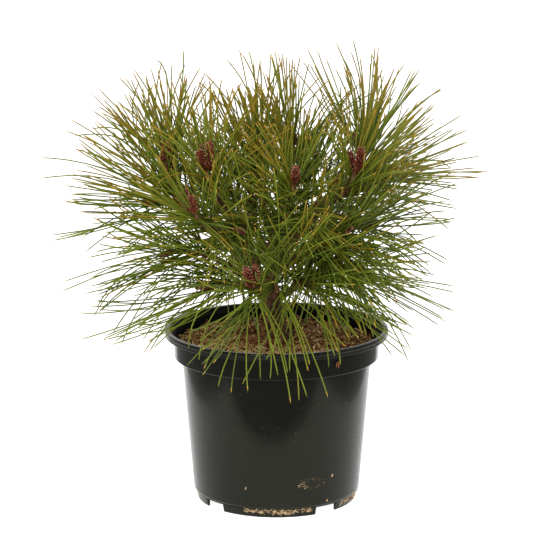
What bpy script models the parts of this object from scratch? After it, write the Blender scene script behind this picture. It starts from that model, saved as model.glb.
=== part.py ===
"""A young Japanese red pine in a black nursery pot.

Metres, +Z up. The origin is on the pot's axis, on the flat underside that it stands on.
-Y is the front. A turn or an azimuth is in degrees from +X towards +Y, seen from above.
The pot, the soil, the trunk, each bough and limb, and each mass of needles is one solid.
"""

import math

import bmesh
import bpy
import numpy as np
from mathutils import Vector, noise

# The gap between solids that touch, and how a cut is tidied: how close points are joined,
# and up to what angle in degrees two faces count as one
TOUCH = 0.0003
WELD = 0.00002
CUT_FLATTEN = 1.5
NEARLY_ZERO = 1e-6

# Pot: a thin moulded shell with a rolled lip, a wider band under it, a body that tapers
# down from a step under the band, and a foot ring
LIP_TOP = 0.1750
LIP_BOTTOM = 0.1682
LIP_RADIUS = 0.1125
LIP_INNER = 0.1077
LIP_ROLL = 0.0010
LIP_DEPTH_INSIDE = 0.0015
BAND_TOP_RADIUS = 0.1038
BAND_FOOT_RADIUS = 0.1030
BAND_BOTTOM = 0.1464
BODY_TOP_RADIUS = 0.0954
BODY_FOOT_RADIUS = 0.0841
BODY_ROUND = 0.0030
BODY_TUCK = 0.0008
FOOT_RADIUS = 0.0817
FOOT_HEIGHT = 0.0088
FOOT_RING = 0.0040
FLOOR_TOP = 0.0112
POT_WALL = 0.0013
MOULD_DRAFT = 0.0006
PAD_RADIUS = 0.0180
PAD_SLOPE = 0.0020
POT_SIDES = 36
NOTCH_AZIMUTHS = (-140, -52, 40, 130)
NOTCH_WIDTH = 0.0255
NOTCH_HEIGHT = 0.0080
NOTCH_PAST_RING = 0.0030

# Soil: packed to a little under the lip, mounded round the trunk.
# Each ring is its reach from the axis and its drop below the crown.
SOIL_CROWN = 0.1655
SOIL_FLAT_RADIUS = 0.0230
SOIL_RINGS = ((0.040, 0.0012), (0.062, 0.0028), (0.084, 0.0050))
SOIL_EDGE = 0.1595
SOIL_EDGE_RADIUS = 0.0985
SOIL_SHOULDER = 0.0050
SOIL_SIDES = 24
SOIL_UNEVEN = 0.0012
SOIL_LUMP = 0.0250

# Trunk: short, flared at the soil, leaning a little to the left
TRUNK_FOOT = SOIL_CROWN + TOUCH
TRUNK_TOP = 0.2130
TRUNK_LEAN = -0.0070
TRUNK_BEND = 1.4
TRUNK_FLARE = 0.0150
TRUNK_FLARE_FALL = 9.0
TRUNK_RADIUS = 0.0093
TRUNK_TOP_RADIUS = 0.0084
TRUNK_TOP_ROUNDING = 0.86
TRUNK_SHARES = (0.0, 0.06, 0.16, 0.34, 0.62, 0.86, 1.0)

# Limbs: their sides, the length between their rings, how strongly their lines bend,
# and how far a bough's foot is set into the trunk
TRUNK_SIDES = 12
BOUGH_SIDES = 8
LIMB_SIDES = 6
STATION = 0.014
LINE_POINTS = 13
FINE_POINTS = 200
BOUGH_DRAW = 0.50
LIMB_DRAW = 0.45
FOOT_SET_IN = 0.006

# Needles: how far a mass reaches past its bud, how it narrows towards its base, and the
# size of its lumps; the bare wood that low masses leave free; the room kept round the pot
MASS_CENTRE = 0.20
MASS_BASE = 0.27
MASS_SWELL = 0.89
MASS_NARROWING = 1.25
MASS_UNEVEN = 0.20
MASS_LUMP = 0.030
MASS_SEED_STEP = 7.3
MASS_GAP = 0.0040
MASS_LEVELS = 3
MASS_FLATTEN = 20.0
CORE_REACH = 0.028
CORE_TOP = 0.275
SOCKET = 0.0050
POT_CLEARANCE = 0.0018
POT_ROOM_SIDES = 16

# Boughs: where each leaves the wood that carries it (height on the trunk's line, or the
# bough and the share of its length), where it forks (reach, azimuth, height in mm),
# and the radius of its foot in mm
BOUGHS = {
    "left": (0.211, (42, 202, 281), 5.6),
    "left_out": (0.206, (50, 178, 262), 4.6),
    "low_left": (0.203, (24, 196, 220), 4.2),
    "front": (0.205, (30, 256, 216), 4.4),
    "centre": (0.213, (5, 120, 276), 6.0),
    "right": (("centre", 0.62), (36, 344, 298), 4.8),
    "right_low": (("centre", 0.30), (46, 330, 268), 4.2),
    "low_right": (0.204, (21, 346, 218), 4.2),
    "back_left": (("centre", 0.12), (40, 122, 268), 4.4),
    "back_right": (("centre", 0.24), (42, 55, 268), 4.4),
    "back_low": (0.207, (28, 92, 224), 4.2),
}

# Shoots: the bough each grows on, where its bud stands (reach, azimuth, height in mm),
# where it points (turn, lift) and how long its needles are in mm.
# A bough runs on into the first shoot listed for it; the others have a limb of their own.
SHOOTS = {
    "left_crown": ("left", (86, 216, 356), (218, 64), 106),
    "left_front": ("left", (115, 224, 317), (215, 50), 103),
    "left_out": ("left_out", (119, 174, 306), (179, 16), 121),
    "left_high": ("left_out", (120, 180, 350), (176, 62), 104),
    "left_low_out": ("low_left", (112, 196, 270), (188, 8), 106),
    "left_low": ("low_left", (84, 206, 238), (205, -8), 108),
    "front_low": ("front", (84, 254, 246), (256, 42), 112),
    "top_mid": ("centre", (33, 62, 362), (88, 76), 104),
    "top_left_mid": ("centre", (38, 142, 357), (115, 80), 104),
    "front_mid": ("centre", (52, 290, 339), (292, 78), 98),
    "right_crown": ("right", (86, 334, 349), (322, 62), 106),
    "right_top": ("right", (92, 27, 358), (50, 72), 106),
    "right_out": ("right", (104, 5, 330), (0, 34), 102),
    "right_low": ("right_low", (94, 322, 290), (312, 44), 104),
    "right_mid": ("right_low", (103, 351, 286), (356, 6), 102),
    "right_low_out": ("low_right", (77, 346, 242), (345, -4), 108),
    "front_right": ("low_right", (62, 296, 226), (318, -4), 110),
    "back_left_out": ("back_left", (106, 138, 314), (143, 42), 104),
    "back_left_mid": ("back_left", (92, 110, 326), (108, 60), 104),
    "back_right_out": ("back_right", (108, 39, 311), (34, 36), 104),
    "back_right_mid": ("back_right", (92, 68, 325), (76, 64), 104),
    "back_low_mid": ("back_low", (86, 88, 252), (95, 14), 104),
    "back_low_left": ("back_low", (84, 130, 253), (140, 8), 104),
    "back_low_right": ("back_low", (86, 44, 246), (38, 2), 104),
}
LIMB_RADII = (3.0, 2.3)

# Low shoots whose old needles hang: where those point (turn, lift)
HANGING = {
    "front_low": (262, -38),
    "front_right": (305, -28),
    "left_low": (210, -20),
    "right_low_out": (345, -20),
    "back_low_left": (140, -12),
    "back_low_mid": (94, -14),
    "back_low_right": (40, -12),
}
SHOOT_TIP_RADIUS = 2.2

# Looks of the sub-parts: colour, roughness, and the angle in degrees that stays sharp
POT_LOOK = ((0.020, 0.020, 0.018), 0.35, 30)
SOIL_LOOK = ((0.130, 0.080, 0.035), 0.95, 40)
BARK_LOOK = ((0.095, 0.050, 0.032), 0.90, 60)
NEEDLE_LOOK = ((0.090, 0.150, 0.028), 0.60, 20)

# A direction that no limb sets off along, from which a tube's first ring is turned
SIDEWAYS = (0.31, 0.87, 0.12)


def clear_scene():
    """Take out whatever the file opens with."""
    for thing in list(bpy.data.objects):
        bpy.data.objects.remove(thing, do_unlink=True)


def finish(thing, look):
    """Give a sub-part its own plain material and its smooth shading."""
    colour, roughness, sharp_above = look
    material = bpy.data.materials.new(thing.name + "_surface")
    material.use_nodes = True
    shader = material.node_tree.nodes["Principled BSDF"]
    shader.inputs["Base Color"].default_value = (*colour, 1.0)
    shader.inputs["Roughness"].default_value = roughness
    shader.inputs["Metallic"].default_value = 0.0
    thing.data.materials.clear()
    thing.data.materials.append(material)
    thing.data.shade_smooth()
    thing.data.set_sharp_from_angle(angle=math.radians(sharp_above))


def object_from(name, bm):
    """Put a bmesh into the scene as a named object with its faces pointing out."""
    bmesh.ops.recalc_face_normals(bm, faces=bm.faces)
    mesh = bpy.data.meshes.new(name)
    bm.to_mesh(mesh)
    bm.free()
    thing = bpy.data.objects.new(name, mesh)
    bpy.context.scene.collection.objects.link(thing)
    return thing


def polar(reach, azimuth, height):
    """A point from its reach off the pot's axis, its azimuth and its height, all in mm."""
    turn = math.radians(azimuth)
    return np.array([reach * math.cos(turn), reach * math.sin(turn), height]) / 1000


def heading(turn, lift):
    """The unit vector that points along a turn and a lift in degrees."""
    turn, lift = math.radians(turn), math.radians(lift)
    flat = math.cos(lift)
    return np.array([flat * math.cos(turn), flat * math.sin(turn), math.sin(lift)])


def bezier(start, via, end, share):
    """Points on the curve from start to end that is drawn towards via."""
    share = np.atleast_1d(share)[:, None]
    return (1 - share) ** 2 * start + 2 * share * (1 - share) * via + share ** 2 * end


def revolve(name, profile, sides):
    """Turn a profile of (radius, height) points that starts and ends on the axis."""
    bm = bmesh.new()
    rings = []
    for radius, height in profile:
        if radius < NEARLY_ZERO:
            rings.append([bm.verts.new((0, 0, height))])
            continue
        ring = []
        for side in range(sides):
            angle = 2 * math.pi * side / sides
            ring.append(bm.verts.new((radius * math.cos(angle), radius * math.sin(angle), height)))
        rings.append(ring)
    for upper, lower in zip(rings[:-1], rings[1:]):
        for side in range(sides):
            after = (side + 1) % sides
            corners = [upper[side % len(upper)], lower[side % len(lower)]]
            if len(lower) > 1:
                corners.append(lower[after])
            if len(upper) > 1:
                corners.append(upper[after])
            bm.faces.new(corners)
    return object_from(name, bm)


def tube(name, path, radii, sides, level_ends=False):
    """A closed tube along a path, with a radius at each of its points."""
    path = np.asarray(path, float)
    tangents = np.gradient(path, axis=0)
    tangents /= np.linalg.norm(tangents, axis=1)[:, None]
    across = np.cross(tangents[0], SIDEWAYS)
    across /= np.linalg.norm(across)
    bm = bmesh.new()
    rings = []
    for point, tangent, radius in zip(path, tangents, radii):
        across -= tangent * np.dot(across, tangent)
        across /= np.linalg.norm(across)
        other = np.cross(tangent, across)
        ring = []
        for side in range(sides):
            angle = 2 * math.pi * side / sides
            offset = across * math.cos(angle) + other * math.sin(angle)
            ring.append(bm.verts.new(point + radius * offset))
        rings.append(ring)
    if level_ends:
        for vert in rings[0]:
            vert.co.z = path[0][2]
        for vert in rings[-1]:
            vert.co.z = path[-1][2]
    for lower, upper in zip(rings[:-1], rings[1:]):
        for side in range(sides):
            after = (side + 1) % sides
            bm.faces.new((lower[side], lower[after], upper[after], upper[side]))
    bm.faces.new(list(reversed(rings[0])))
    bm.faces.new(rings[-1])
    return object_from(name, bm)


def keep_largest_body(bm):
    """Delete the small offcuts that a cut leaves beside the main body."""
    unseen = set(bm.verts)
    bodies = []
    while unseen:
        body = {unseen.pop()}
        edge_of_body = list(body)
        while edge_of_body:
            for edge in edge_of_body.pop().link_edges:
                for vert in edge.verts:
                    if vert in unseen:
                        unseen.discard(vert)
                        body.add(vert)
                        edge_of_body.append(vert)
        bodies.append(body)
    bodies.sort(key=len)
    for body in bodies[:-1]:
        bmesh.ops.delete(bm, geom=list(body), context="VERTS")


def cut(thing, cutters):
    """Cut a solid by others with exact Booleans, and keep its main body."""
    for cutter in cutters:
        modifier = thing.modifiers.new("cut", "BOOLEAN")
        modifier.operation = "DIFFERENCE"
        modifier.solver = "EXACT"
        modifier.object = cutter
    bpy.context.view_layer.update()
    graph = bpy.context.evaluated_depsgraph_get()
    bm = bmesh.new()
    bm.from_object(thing, graph)
    thing.modifiers.clear()
    bmesh.ops.remove_doubles(bm, verts=bm.verts, dist=WELD)
    keep_largest_body(bm)
    flat = math.radians(CUT_FLATTEN)
    bmesh.ops.dissolve_limit(bm, angle_limit=flat, verts=bm.verts, edges=bm.edges)
    bmesh.ops.triangulate(bm, faces=bm.faces)
    bmesh.ops.dissolve_degenerate(bm, edges=bm.edges, dist=WELD)
    bm.to_mesh(thing.data)
    bm.free()


def box_of(thing):
    """The lowest and highest corners of an object that stands at the origin."""
    corners = np.array([vert.co for vert in thing.data.vertices])
    return corners.min(axis=0), corners.max(axis=0)


def boxes_meet(one, other):
    """Whether the boxes of two objects overlap."""
    low, high = box_of(one)
    other_low, other_high = box_of(other)
    return bool(np.all(low < other_high) and np.all(other_low < high))


def make_pot():
    """The moulded pot, from one profile that goes up its outside and down its inside."""
    ring_inner = FOOT_RADIUS - FOOT_RING
    underside = FLOOR_TOP - POT_WALL
    step_inside = BAND_BOTTOM + POT_WALL
    profile = [
        (0.0, 0.0), (PAD_RADIUS, 0.0), (PAD_RADIUS + PAD_SLOPE, underside),
        (ring_inner, underside), (ring_inner, 0.0), (FOOT_RADIUS, 0.0),
        (FOOT_RADIUS, FOOT_HEIGHT), (BODY_FOOT_RADIUS - BODY_TUCK, FOOT_HEIGHT + BODY_TUCK),
        (BODY_FOOT_RADIUS, FOOT_HEIGHT + BODY_ROUND), (BODY_TOP_RADIUS, BAND_BOTTOM),
        (BAND_FOOT_RADIUS, BAND_BOTTOM), (BAND_TOP_RADIUS, LIP_BOTTOM),
        (LIP_RADIUS, LIP_BOTTOM), (LIP_RADIUS, LIP_TOP - LIP_ROLL),
        (LIP_RADIUS - LIP_ROLL, LIP_TOP), (LIP_INNER, LIP_TOP),
        (LIP_INNER - MOULD_DRAFT, LIP_TOP - LIP_DEPTH_INSIDE),
        (BAND_TOP_RADIUS - POT_WALL, LIP_BOTTOM + MOULD_DRAFT),
        (BAND_FOOT_RADIUS - POT_WALL, step_inside), (BODY_TOP_RADIUS - POT_WALL, step_inside),
        (BODY_FOOT_RADIUS - POT_WALL - MOULD_DRAFT, FLOOR_TOP), (0.0, FLOOR_TOP),
    ]
    pot = revolve("pot", list(reversed(profile)), POT_SIDES)
    notches = []
    for azimuth in NOTCH_AZIMUTHS:
        reach = FOOT_RADIUS - FOOT_RING / 2
        turn = math.radians(azimuth)
        bpy.ops.mesh.primitive_cube_add(size=1.0)
        notch = bpy.context.object
        for vert in notch.data.vertices:
            along = vert.co.x * (FOOT_RING + 2 * NOTCH_PAST_RING) + reach
            side = vert.co.y * NOTCH_WIDTH
            vert.co.x = along * math.cos(turn) - side * math.sin(turn)
            vert.co.y = along * math.sin(turn) + side * math.cos(turn)
            vert.co.z = vert.co.z * NOTCH_HEIGHT * 2
        notches.append(notch)
    cut(pot, notches)
    for notch in notches:
        bpy.data.objects.remove(notch, do_unlink=True)
    return pot


def make_soil():
    """The root ball and soil, one solid inside the pot, uneven on top."""
    clear = POT_WALL + 2 * TOUCH
    floor = FLOOR_TOP + TOUCH
    step = BAND_BOTTOM + POT_WALL + TOUCH
    rings = [(reach, SOIL_CROWN - drop) for reach, drop in SOIL_RINGS]
    profile = [
        (0.0, SOIL_CROWN), (SOIL_FLAT_RADIUS, SOIL_CROWN), *rings,
        (SOIL_EDGE_RADIUS, SOIL_EDGE), (BAND_FOOT_RADIUS - clear, SOIL_EDGE - SOIL_SHOULDER),
        (BAND_FOOT_RADIUS - clear, step), (BODY_TOP_RADIUS - clear, step),
        (BODY_FOOT_RADIUS - MOULD_DRAFT - clear, floor), (0.0, floor),
    ]
    soil = revolve("soil", profile, SOIL_SIDES)
    for vert in soil.data.vertices:
        reach = math.hypot(vert.co.x, vert.co.y)
        if vert.co.z > SOIL_EDGE - SOIL_UNEVEN and reach > SOIL_FLAT_RADIUS + SOIL_UNEVEN:
            vert.co.z += SOIL_UNEVEN * noise.noise(vert.co / SOIL_LUMP)
    return soil


def trunk_line(height):
    """The middle of the trunk at a height."""
    share = (height - TRUNK_FOOT) / (TRUNK_TOP - TRUNK_FOOT)
    return np.array([TRUNK_LEAN * share ** TRUNK_BEND, 0.0, height])


def trunk_rings(extra=0.0):
    """The trunk's path and radii, fatter by extra all round."""
    shares = np.array(TRUNK_SHARES)
    heights = TRUNK_FOOT + (TRUNK_TOP - TRUNK_FOOT) * shares
    radii = TRUNK_RADIUS + (TRUNK_TOP_RADIUS - TRUNK_RADIUS) * shares
    radii += (TRUNK_FLARE - TRUNK_RADIUS) * np.exp(-shares * TRUNK_FLARE_FALL)
    radii[-1] *= TRUNK_TOP_ROUNDING
    path = np.array([trunk_line(height) for height in heights])
    path[0, 2] -= extra
    path[-1, 2] += extra
    return path, radii + extra


def bough_path(name):
    """A bough's line from inside the wood that carries it to its fork."""
    start_at, fork, _ = BOUGHS[name]
    fork = polar(*fork)
    if isinstance(start_at, tuple):
        carrier, share = start_at
        line = bough_path(carrier)
        start = line[int(round(share * (len(line) - 1)))]
    else:
        start = trunk_line(start_at - FOOT_SET_IN)
    first = shoots_of(name)[0]
    bud = polar(*SHOOTS[first][1])
    onward = (bud - start) / np.linalg.norm(bud - start)
    via = fork - onward * BOUGH_DRAW * np.linalg.norm(fork - start)
    return bezier(start, via, fork, np.linspace(0, 1, LINE_POINTS))


def shoots_of(bough):
    """The names of the shoots that a bough carries, in order."""
    return [name for name, shoot in SHOOTS.items() if shoot[0] == bough]


def limb_path(name):
    """A shoot's line from its bough's fork to its bud."""
    bough, place, point, _ = SHOOTS[name]
    start = bough_path(bough)[-1]
    bud = polar(*place)
    via = bud - heading(*point) * LIMB_DRAW * np.linalg.norm(bud - start)
    return bezier(start, via, bud, np.linspace(0, 1, LINE_POINTS))


class Mass:
    """One mass of needles: an uneven solid whose surface is a distance from its centre."""

    def __init__(self, name):
        _, place, point, needle = SHOOTS[name]
        self.name = name
        self.needle = needle / 1000
        self.aim = heading(*HANGING.get(name, point))
        self.centre = polar(*place) - heading(*point) * MASS_CENTRE * self.needle
        self.seed = MASS_SEED_STEP * list(SHOOTS).index(name)
        self.outward = np.array([self.centre[0], self.centre[1], 0.0])
        self.off_axis = float(np.linalg.norm(self.outward))
        self.outward /= self.off_axis

    def reach(self, direction):
        """How far the needles' tips are from the centre in a direction."""
        facing = max(0.0, (1 + float(np.dot(direction, self.aim))) / 2)
        reach = MASS_BASE + MASS_SWELL * facing ** MASS_NARROWING
        where = (self.centre + direction * self.needle) / MASS_LUMP
        lump = noise.noise(Vector(where) + Vector((self.seed, 0, 0)))
        return self.needle * reach * (1 + MASS_UNEVEN * lump * facing)

    def limit(self, direction, others):
        """The reach, held short of the planes halfway to the other masses.

        A low mass also stays off the bare wood round the trunk.
        """
        distance = self.reach(direction)
        inward = -float(np.dot(direction, self.outward))
        if self.centre[2] < CORE_TOP and inward > NEARLY_ZERO:
            distance = min(distance, (self.off_axis - CORE_REACH) / inward)
        for other in others:
            if other is self:
                continue
            between = other.centre - self.centre
            apart = float(np.linalg.norm(between))
            towards = float(np.dot(direction, between)) / apart
            if towards > NEARLY_ZERO:
                distance = min(distance, (apart - MASS_GAP) / 2 / towards)
        return distance

    def build(self, others):
        """The mass as an object, before the wood and the pot are cut from it."""
        bm = bmesh.new()
        bmesh.ops.create_icosphere(bm, subdivisions=MASS_LEVELS, radius=1.0)
        for vert in bm.verts:
            direction = np.array(vert.co.normalized())
            vert.co = Vector(self.centre + direction * self.limit(direction, others))
        flat = math.radians(MASS_FLATTEN)
        bmesh.ops.dissolve_limit(bm, angle_limit=flat, verts=bm.verts, edges=bm.edges)
        bmesh.ops.triangulate(bm, faces=bm.faces)
        return object_from("needles_" + self.name, bm)

    def holds(self, point, others):
        """Whether a point is inside the mass."""
        away = point - self.centre
        distance = float(np.linalg.norm(away))
        return distance < self.limit(away / max(distance, NEARLY_ZERO), others)


def length_along(path):
    """The distance along a path at each of its points."""
    steps = np.linalg.norm(np.diff(path, axis=0), axis=1)
    return np.concatenate([[0.0], np.cumsum(steps)])


def end_in_mass(path, mass, others):
    """Cut a limb's line off just inside its mass."""
    along = length_along(path)
    fine = np.linspace(0, along[-1], FINE_POINTS)
    points = np.stack([np.interp(fine, along, path[:, axis]) for axis in range(3)], axis=1)
    for index, point in enumerate(points):
        if mass.holds(point, others):
            end = min(fine[index] + SOCKET, along[-1])
            break
    else:
        end = along[-1]
    count = max(3, int(round(end / STATION)) + 1)
    stations = np.linspace(0, end, count)
    return np.stack([np.interp(stations, along, path[:, axis]) for axis in range(3)], axis=1)


def taper(path, foot, tip):
    """Radii that run evenly from a foot radius to a tip radius, in mm."""
    along = length_along(path)
    return (foot + (tip - foot) * along / along[-1]) / 1000


def make_wood(masses):
    """The trunk, the boughs and the side limbs, each cut to stand clear of the last."""
    trunk = tube("trunk", *trunk_rings(), TRUNK_SIDES, level_ends=True)
    wood = [trunk]
    fat = [tube("fat_trunk", *trunk_rings(TOUCH), TRUNK_SIDES, level_ends=True)]
    others = list(masses.values())
    plan = []
    for bough, (_, _, foot_radius) in BOUGHS.items():
        first = shoots_of(bough)[0]
        line = np.concatenate([bough_path(bough), limb_path(first)[1:]])
        line = end_in_mass(line, masses[first], others)
        plan.append(("bough_" + bough, line, (foot_radius, SHOOT_TIP_RADIUS), BOUGH_SIDES))
    for name, shoot in SHOOTS.items():
        if name == shoots_of(shoot[0])[0]:
            continue
        line = end_in_mass(limb_path(name), masses[name], others)
        plan.append(("limb_" + name, line, LIMB_RADII, LIMB_SIDES))
    for name, line, ends, sides in plan:
        radii = taper(line, *ends)
        limb = tube(name, line, radii, sides)
        near = [cutter for cutter in fat if boxes_meet(limb, cutter)]
        if near:
            cut(limb, near)
        wood.append(limb)
        fat.append(tube("fat_" + name, stretched(line, TOUCH), radii + TOUCH, sides))
    return wood, fat


def stretched(path, extra):
    """A path made longer by extra at both ends."""
    longer = path.copy()
    first = path[0] - path[1]
    last = path[-1] - path[-2]
    longer[0] += extra * first / np.linalg.norm(first)
    longer[-1] += extra * last / np.linalg.norm(last)
    return longer


def make_masses(masses, fat):
    """Every mass of needles, cut round the wood and kept off the pot."""
    room_radius = (LIP_RADIUS + POT_CLEARANCE) / math.cos(math.pi / POT_ROOM_SIDES)
    room_height = LIP_TOP + POT_CLEARANCE
    bpy.ops.mesh.primitive_cylinder_add(
        vertices=POT_ROOM_SIDES, radius=room_radius, depth=room_height,
        location=(0, 0, room_height / 2))
    pot_room = bpy.context.object
    pot_room.data.transform(pot_room.matrix_world)
    pot_room.matrix_world.identity()
    others = list(masses.values())
    built = []
    for mass in others:
        solid = mass.build(others)
        near = [cutter for cutter in fat + [pot_room] if boxes_meet(solid, cutter)]
        if near:
            cut(solid, near)
        built.append(solid)
    bpy.data.objects.remove(pot_room, do_unlink=True)
    return built


def main():
    clear_scene()
    masses = {name: Mass(name) for name in SHOOTS}
    finish(make_pot(), POT_LOOK)
    finish(make_soil(), SOIL_LOOK)
    wood, fat = make_wood(masses)
    for piece in wood:
        finish(piece, BARK_LOOK)
    for piece in make_masses(masses, fat):
        finish(piece, NEEDLE_LOOK)
    for cutter in fat:
        bpy.data.objects.remove(cutter, do_unlink=True)


main()
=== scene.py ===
"""A young Japanese red pine in a black nursery pot, seen a little from above.

Metres, +Z up. The origin is on the pot's axis, on the flat underside that it stands on.
-Y is the front. A turn or an azimuth is in degrees from +X towards +Y, seen from above.
"""

import math

import bpy
import numpy as np
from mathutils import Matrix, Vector, noise


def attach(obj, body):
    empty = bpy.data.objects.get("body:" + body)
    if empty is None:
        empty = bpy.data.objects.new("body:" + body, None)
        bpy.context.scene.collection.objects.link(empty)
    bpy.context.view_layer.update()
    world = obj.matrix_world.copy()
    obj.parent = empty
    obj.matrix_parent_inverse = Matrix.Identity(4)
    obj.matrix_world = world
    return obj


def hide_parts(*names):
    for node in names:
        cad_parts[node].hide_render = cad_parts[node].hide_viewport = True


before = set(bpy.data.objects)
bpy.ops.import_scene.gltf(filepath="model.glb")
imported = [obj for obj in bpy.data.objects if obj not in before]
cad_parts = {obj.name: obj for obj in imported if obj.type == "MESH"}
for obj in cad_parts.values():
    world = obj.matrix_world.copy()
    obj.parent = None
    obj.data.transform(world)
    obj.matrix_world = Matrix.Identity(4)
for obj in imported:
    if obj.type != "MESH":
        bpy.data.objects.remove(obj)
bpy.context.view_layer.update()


# Pot
# A thin-walled black nursery pot, moulded in one piece from recycled polypropylene.
# The lip is rolled out with two fine ridges, a band steps in under it, and the foot ring
# is cut by four slots that let water out.
POT_SIDES = 96
PAD_RADIUS = 0.0180
UNDERSIDE = 0.0099
FOOT_RING_INNER = 0.0777
FOOT_RADIUS = 0.0817
FOOT_TAPER = 0.0014
FOOT_HEIGHT = 0.0088
BODY_FOOT_RADIUS = 0.0841
BODY_TOP_RADIUS = 0.0954
BAND_BOTTOM = 0.1464
BAND_FOOT_RADIUS = 0.1030
BAND_TOP_RADIUS = 0.1038
LIP_BOTTOM = 0.1682
LIP_TOP = 0.1750
LIP_RADIUS = 0.1125
LIP_INNER = 0.1077
LIP_GROOVES = ((0.1712, 0.0004), (0.1737, 0.0006))
GROOVE_HALF_WIDTH = 0.0008
WALL = 0.0013
FLOOR_TOP = 0.0112
EDGE_ROUND = 0.0006
FOOT_ROUND = 0.0034
BAND_EDGE_ROUND = 0.0010
HOLLOW_ROUND = 0.0010
WALL_END_SHARE = 0.015
SLOT_AZIMUTHS = (-140, -52, 40, 130)
SLOT_WIDTH = 0.0255
SLOT_HEIGHT = 0.0080


def arc(centre_radius, centre_height, radius, start, end, steps):
    """Points of (radius, height) along part of a circle, from start to end in degrees."""
    points = []
    for step in range(steps + 1):
        angle = math.radians(start + (end - start) * step / steps)
        points.append((centre_radius + radius * math.cos(angle),
                       centre_height + radius * math.sin(angle)))
    return points


def turned(name, profile, sides):
    """A disc whose rim is drawn out ring by ring along a profile, and closed at its end."""
    bpy.ops.object.select_all(action="DESELECT")
    radius, height = profile[0]
    bpy.ops.mesh.primitive_circle_add(
        vertices=sides, radius=radius, fill_type="TRIFAN", location=(0, 0, height))
    piece = bpy.context.object
    piece.name = name
    bpy.ops.object.transform_apply(location=True, rotation=True, scale=True)
    bpy.ops.object.mode_set(mode="EDIT")
    bpy.ops.mesh.select_mode(type="EDGE")
    bpy.ops.mesh.select_all(action="DESELECT")
    bpy.ops.mesh.select_non_manifold()
    for next_radius, next_height in profile[1:]:
        rise = {"value": (0, 0, next_height - height)}
        bpy.ops.mesh.extrude_region_move(TRANSFORM_OT_translate=rise)
        spread = next_radius / radius
        bpy.ops.transform.resize(value=(spread, spread, 1), center_override=(0, 0, next_height))
        radius, height = next_radius, next_height
    bpy.ops.mesh.merge(type="CENTER")
    bpy.ops.mesh.select_all(action="SELECT")
    bpy.ops.mesh.normals_make_consistent(inside=False)
    bpy.ops.object.mode_set(mode="OBJECT")
    return piece


def apply_modifier(piece, modifier):
    """Apply one modifier of a piece."""
    bpy.ops.object.select_all(action="DESELECT")
    piece.select_set(True)
    bpy.context.view_layer.objects.active = piece
    bpy.ops.object.modifier_apply(modifier=modifier.name)


def new_material(name, colour, roughness, specular):
    """A Principled material, with its shader, its nodes and its links."""
    material = bpy.data.materials.new(name)
    material.use_nodes = True
    shader = material.node_tree.nodes["Principled BSDF"]
    shader.inputs["Base Color"].default_value = (*colour, 1.0)
    shader.inputs["Roughness"].default_value = roughness
    shader.inputs["Specular IOR Level"].default_value = specular
    return material, shader, material.node_tree.nodes, material.node_tree.links


def noise_field(nodes, links, scale, detail=3.0, stretch=(1, 1, 1)):
    """The value of a noise in the piece's own space."""
    place = nodes.new("ShaderNodeTexCoord")
    turn = nodes.new("ShaderNodeMapping")
    turn.inputs["Scale"].default_value = stretch
    field = nodes.new("ShaderNodeTexNoise")
    field.inputs["Scale"].default_value = scale
    field.inputs["Detail"].default_value = detail
    links.new(place.outputs["Object"], turn.inputs["Vector"])
    links.new(turn.outputs["Vector"], field.inputs["Vector"])
    return field.outputs["Fac"]


def ramp(nodes, links, value, stops):
    """A colour ramp on a value, from stops of (position, colour)."""
    band = nodes.new("ShaderNodeValToRGB")
    while len(band.color_ramp.elements) < len(stops):
        band.color_ramp.elements.new(0.5)
    for element, (position, colour) in zip(band.color_ramp.elements, stops):
        element.position = position
        element.color = (*colour, 1.0)
    links.new(value, band.inputs["Fac"])
    return band.outputs["Color"]


def bump(nodes, links, value, strength, distance):
    """The normal of a surface that a value raises."""
    relief = nodes.new("ShaderNodeBump")
    relief.inputs["Strength"].default_value = strength
    relief.inputs["Distance"].default_value = distance
    links.new(value, relief.inputs["Height"])
    return relief.outputs["Normal"]


def near_ends(foot_radius, foot, top_radius, top):
    """Two rings close to the ends of a straight wall, so that it shades straight up to them."""
    return [(foot_radius + (top_radius - foot_radius) * share, foot + (top - foot) * share)
            for share in (WALL_END_SHARE, 1 - WALL_END_SHARE)]


pot_profile = [
    (PAD_RADIUS, 0.0), (PAD_RADIUS + 0.0020, UNDERSIDE), (FOOT_RING_INNER, UNDERSIDE),
    (FOOT_RING_INNER, 0.0004), (FOOT_RING_INNER + 0.0004, 0.0),
    (FOOT_RADIUS - FOOT_TAPER - 0.0006, 0.0), (FOOT_RADIUS - FOOT_TAPER, 0.0006),
    (FOOT_RADIUS, FOOT_HEIGHT - 0.0006),
    *arc(BODY_FOOT_RADIUS - FOOT_ROUND, FOOT_HEIGHT + FOOT_ROUND, FOOT_ROUND, -80, 0, 6),
    *near_ends(BODY_FOOT_RADIUS, FOOT_HEIGHT + FOOT_ROUND,
               BODY_TOP_RADIUS, BAND_BOTTOM - HOLLOW_ROUND),
    *arc(BODY_TOP_RADIUS + HOLLOW_ROUND, BAND_BOTTOM - HOLLOW_ROUND, HOLLOW_ROUND, 180, 90, 4),
    *arc(BAND_FOOT_RADIUS - BAND_EDGE_ROUND, BAND_BOTTOM + BAND_EDGE_ROUND,
         BAND_EDGE_ROUND, -90, 0, 6),
    *near_ends(BAND_FOOT_RADIUS, BAND_BOTTOM + BAND_EDGE_ROUND,
               BAND_TOP_RADIUS, LIP_BOTTOM - HOLLOW_ROUND),
    *arc(BAND_TOP_RADIUS + HOLLOW_ROUND, LIP_BOTTOM - HOLLOW_ROUND, HOLLOW_ROUND, 180, 90, 4),
    *arc(LIP_RADIUS - EDGE_ROUND, LIP_BOTTOM + EDGE_ROUND, EDGE_ROUND, -90, 0, 4),
]
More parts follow.
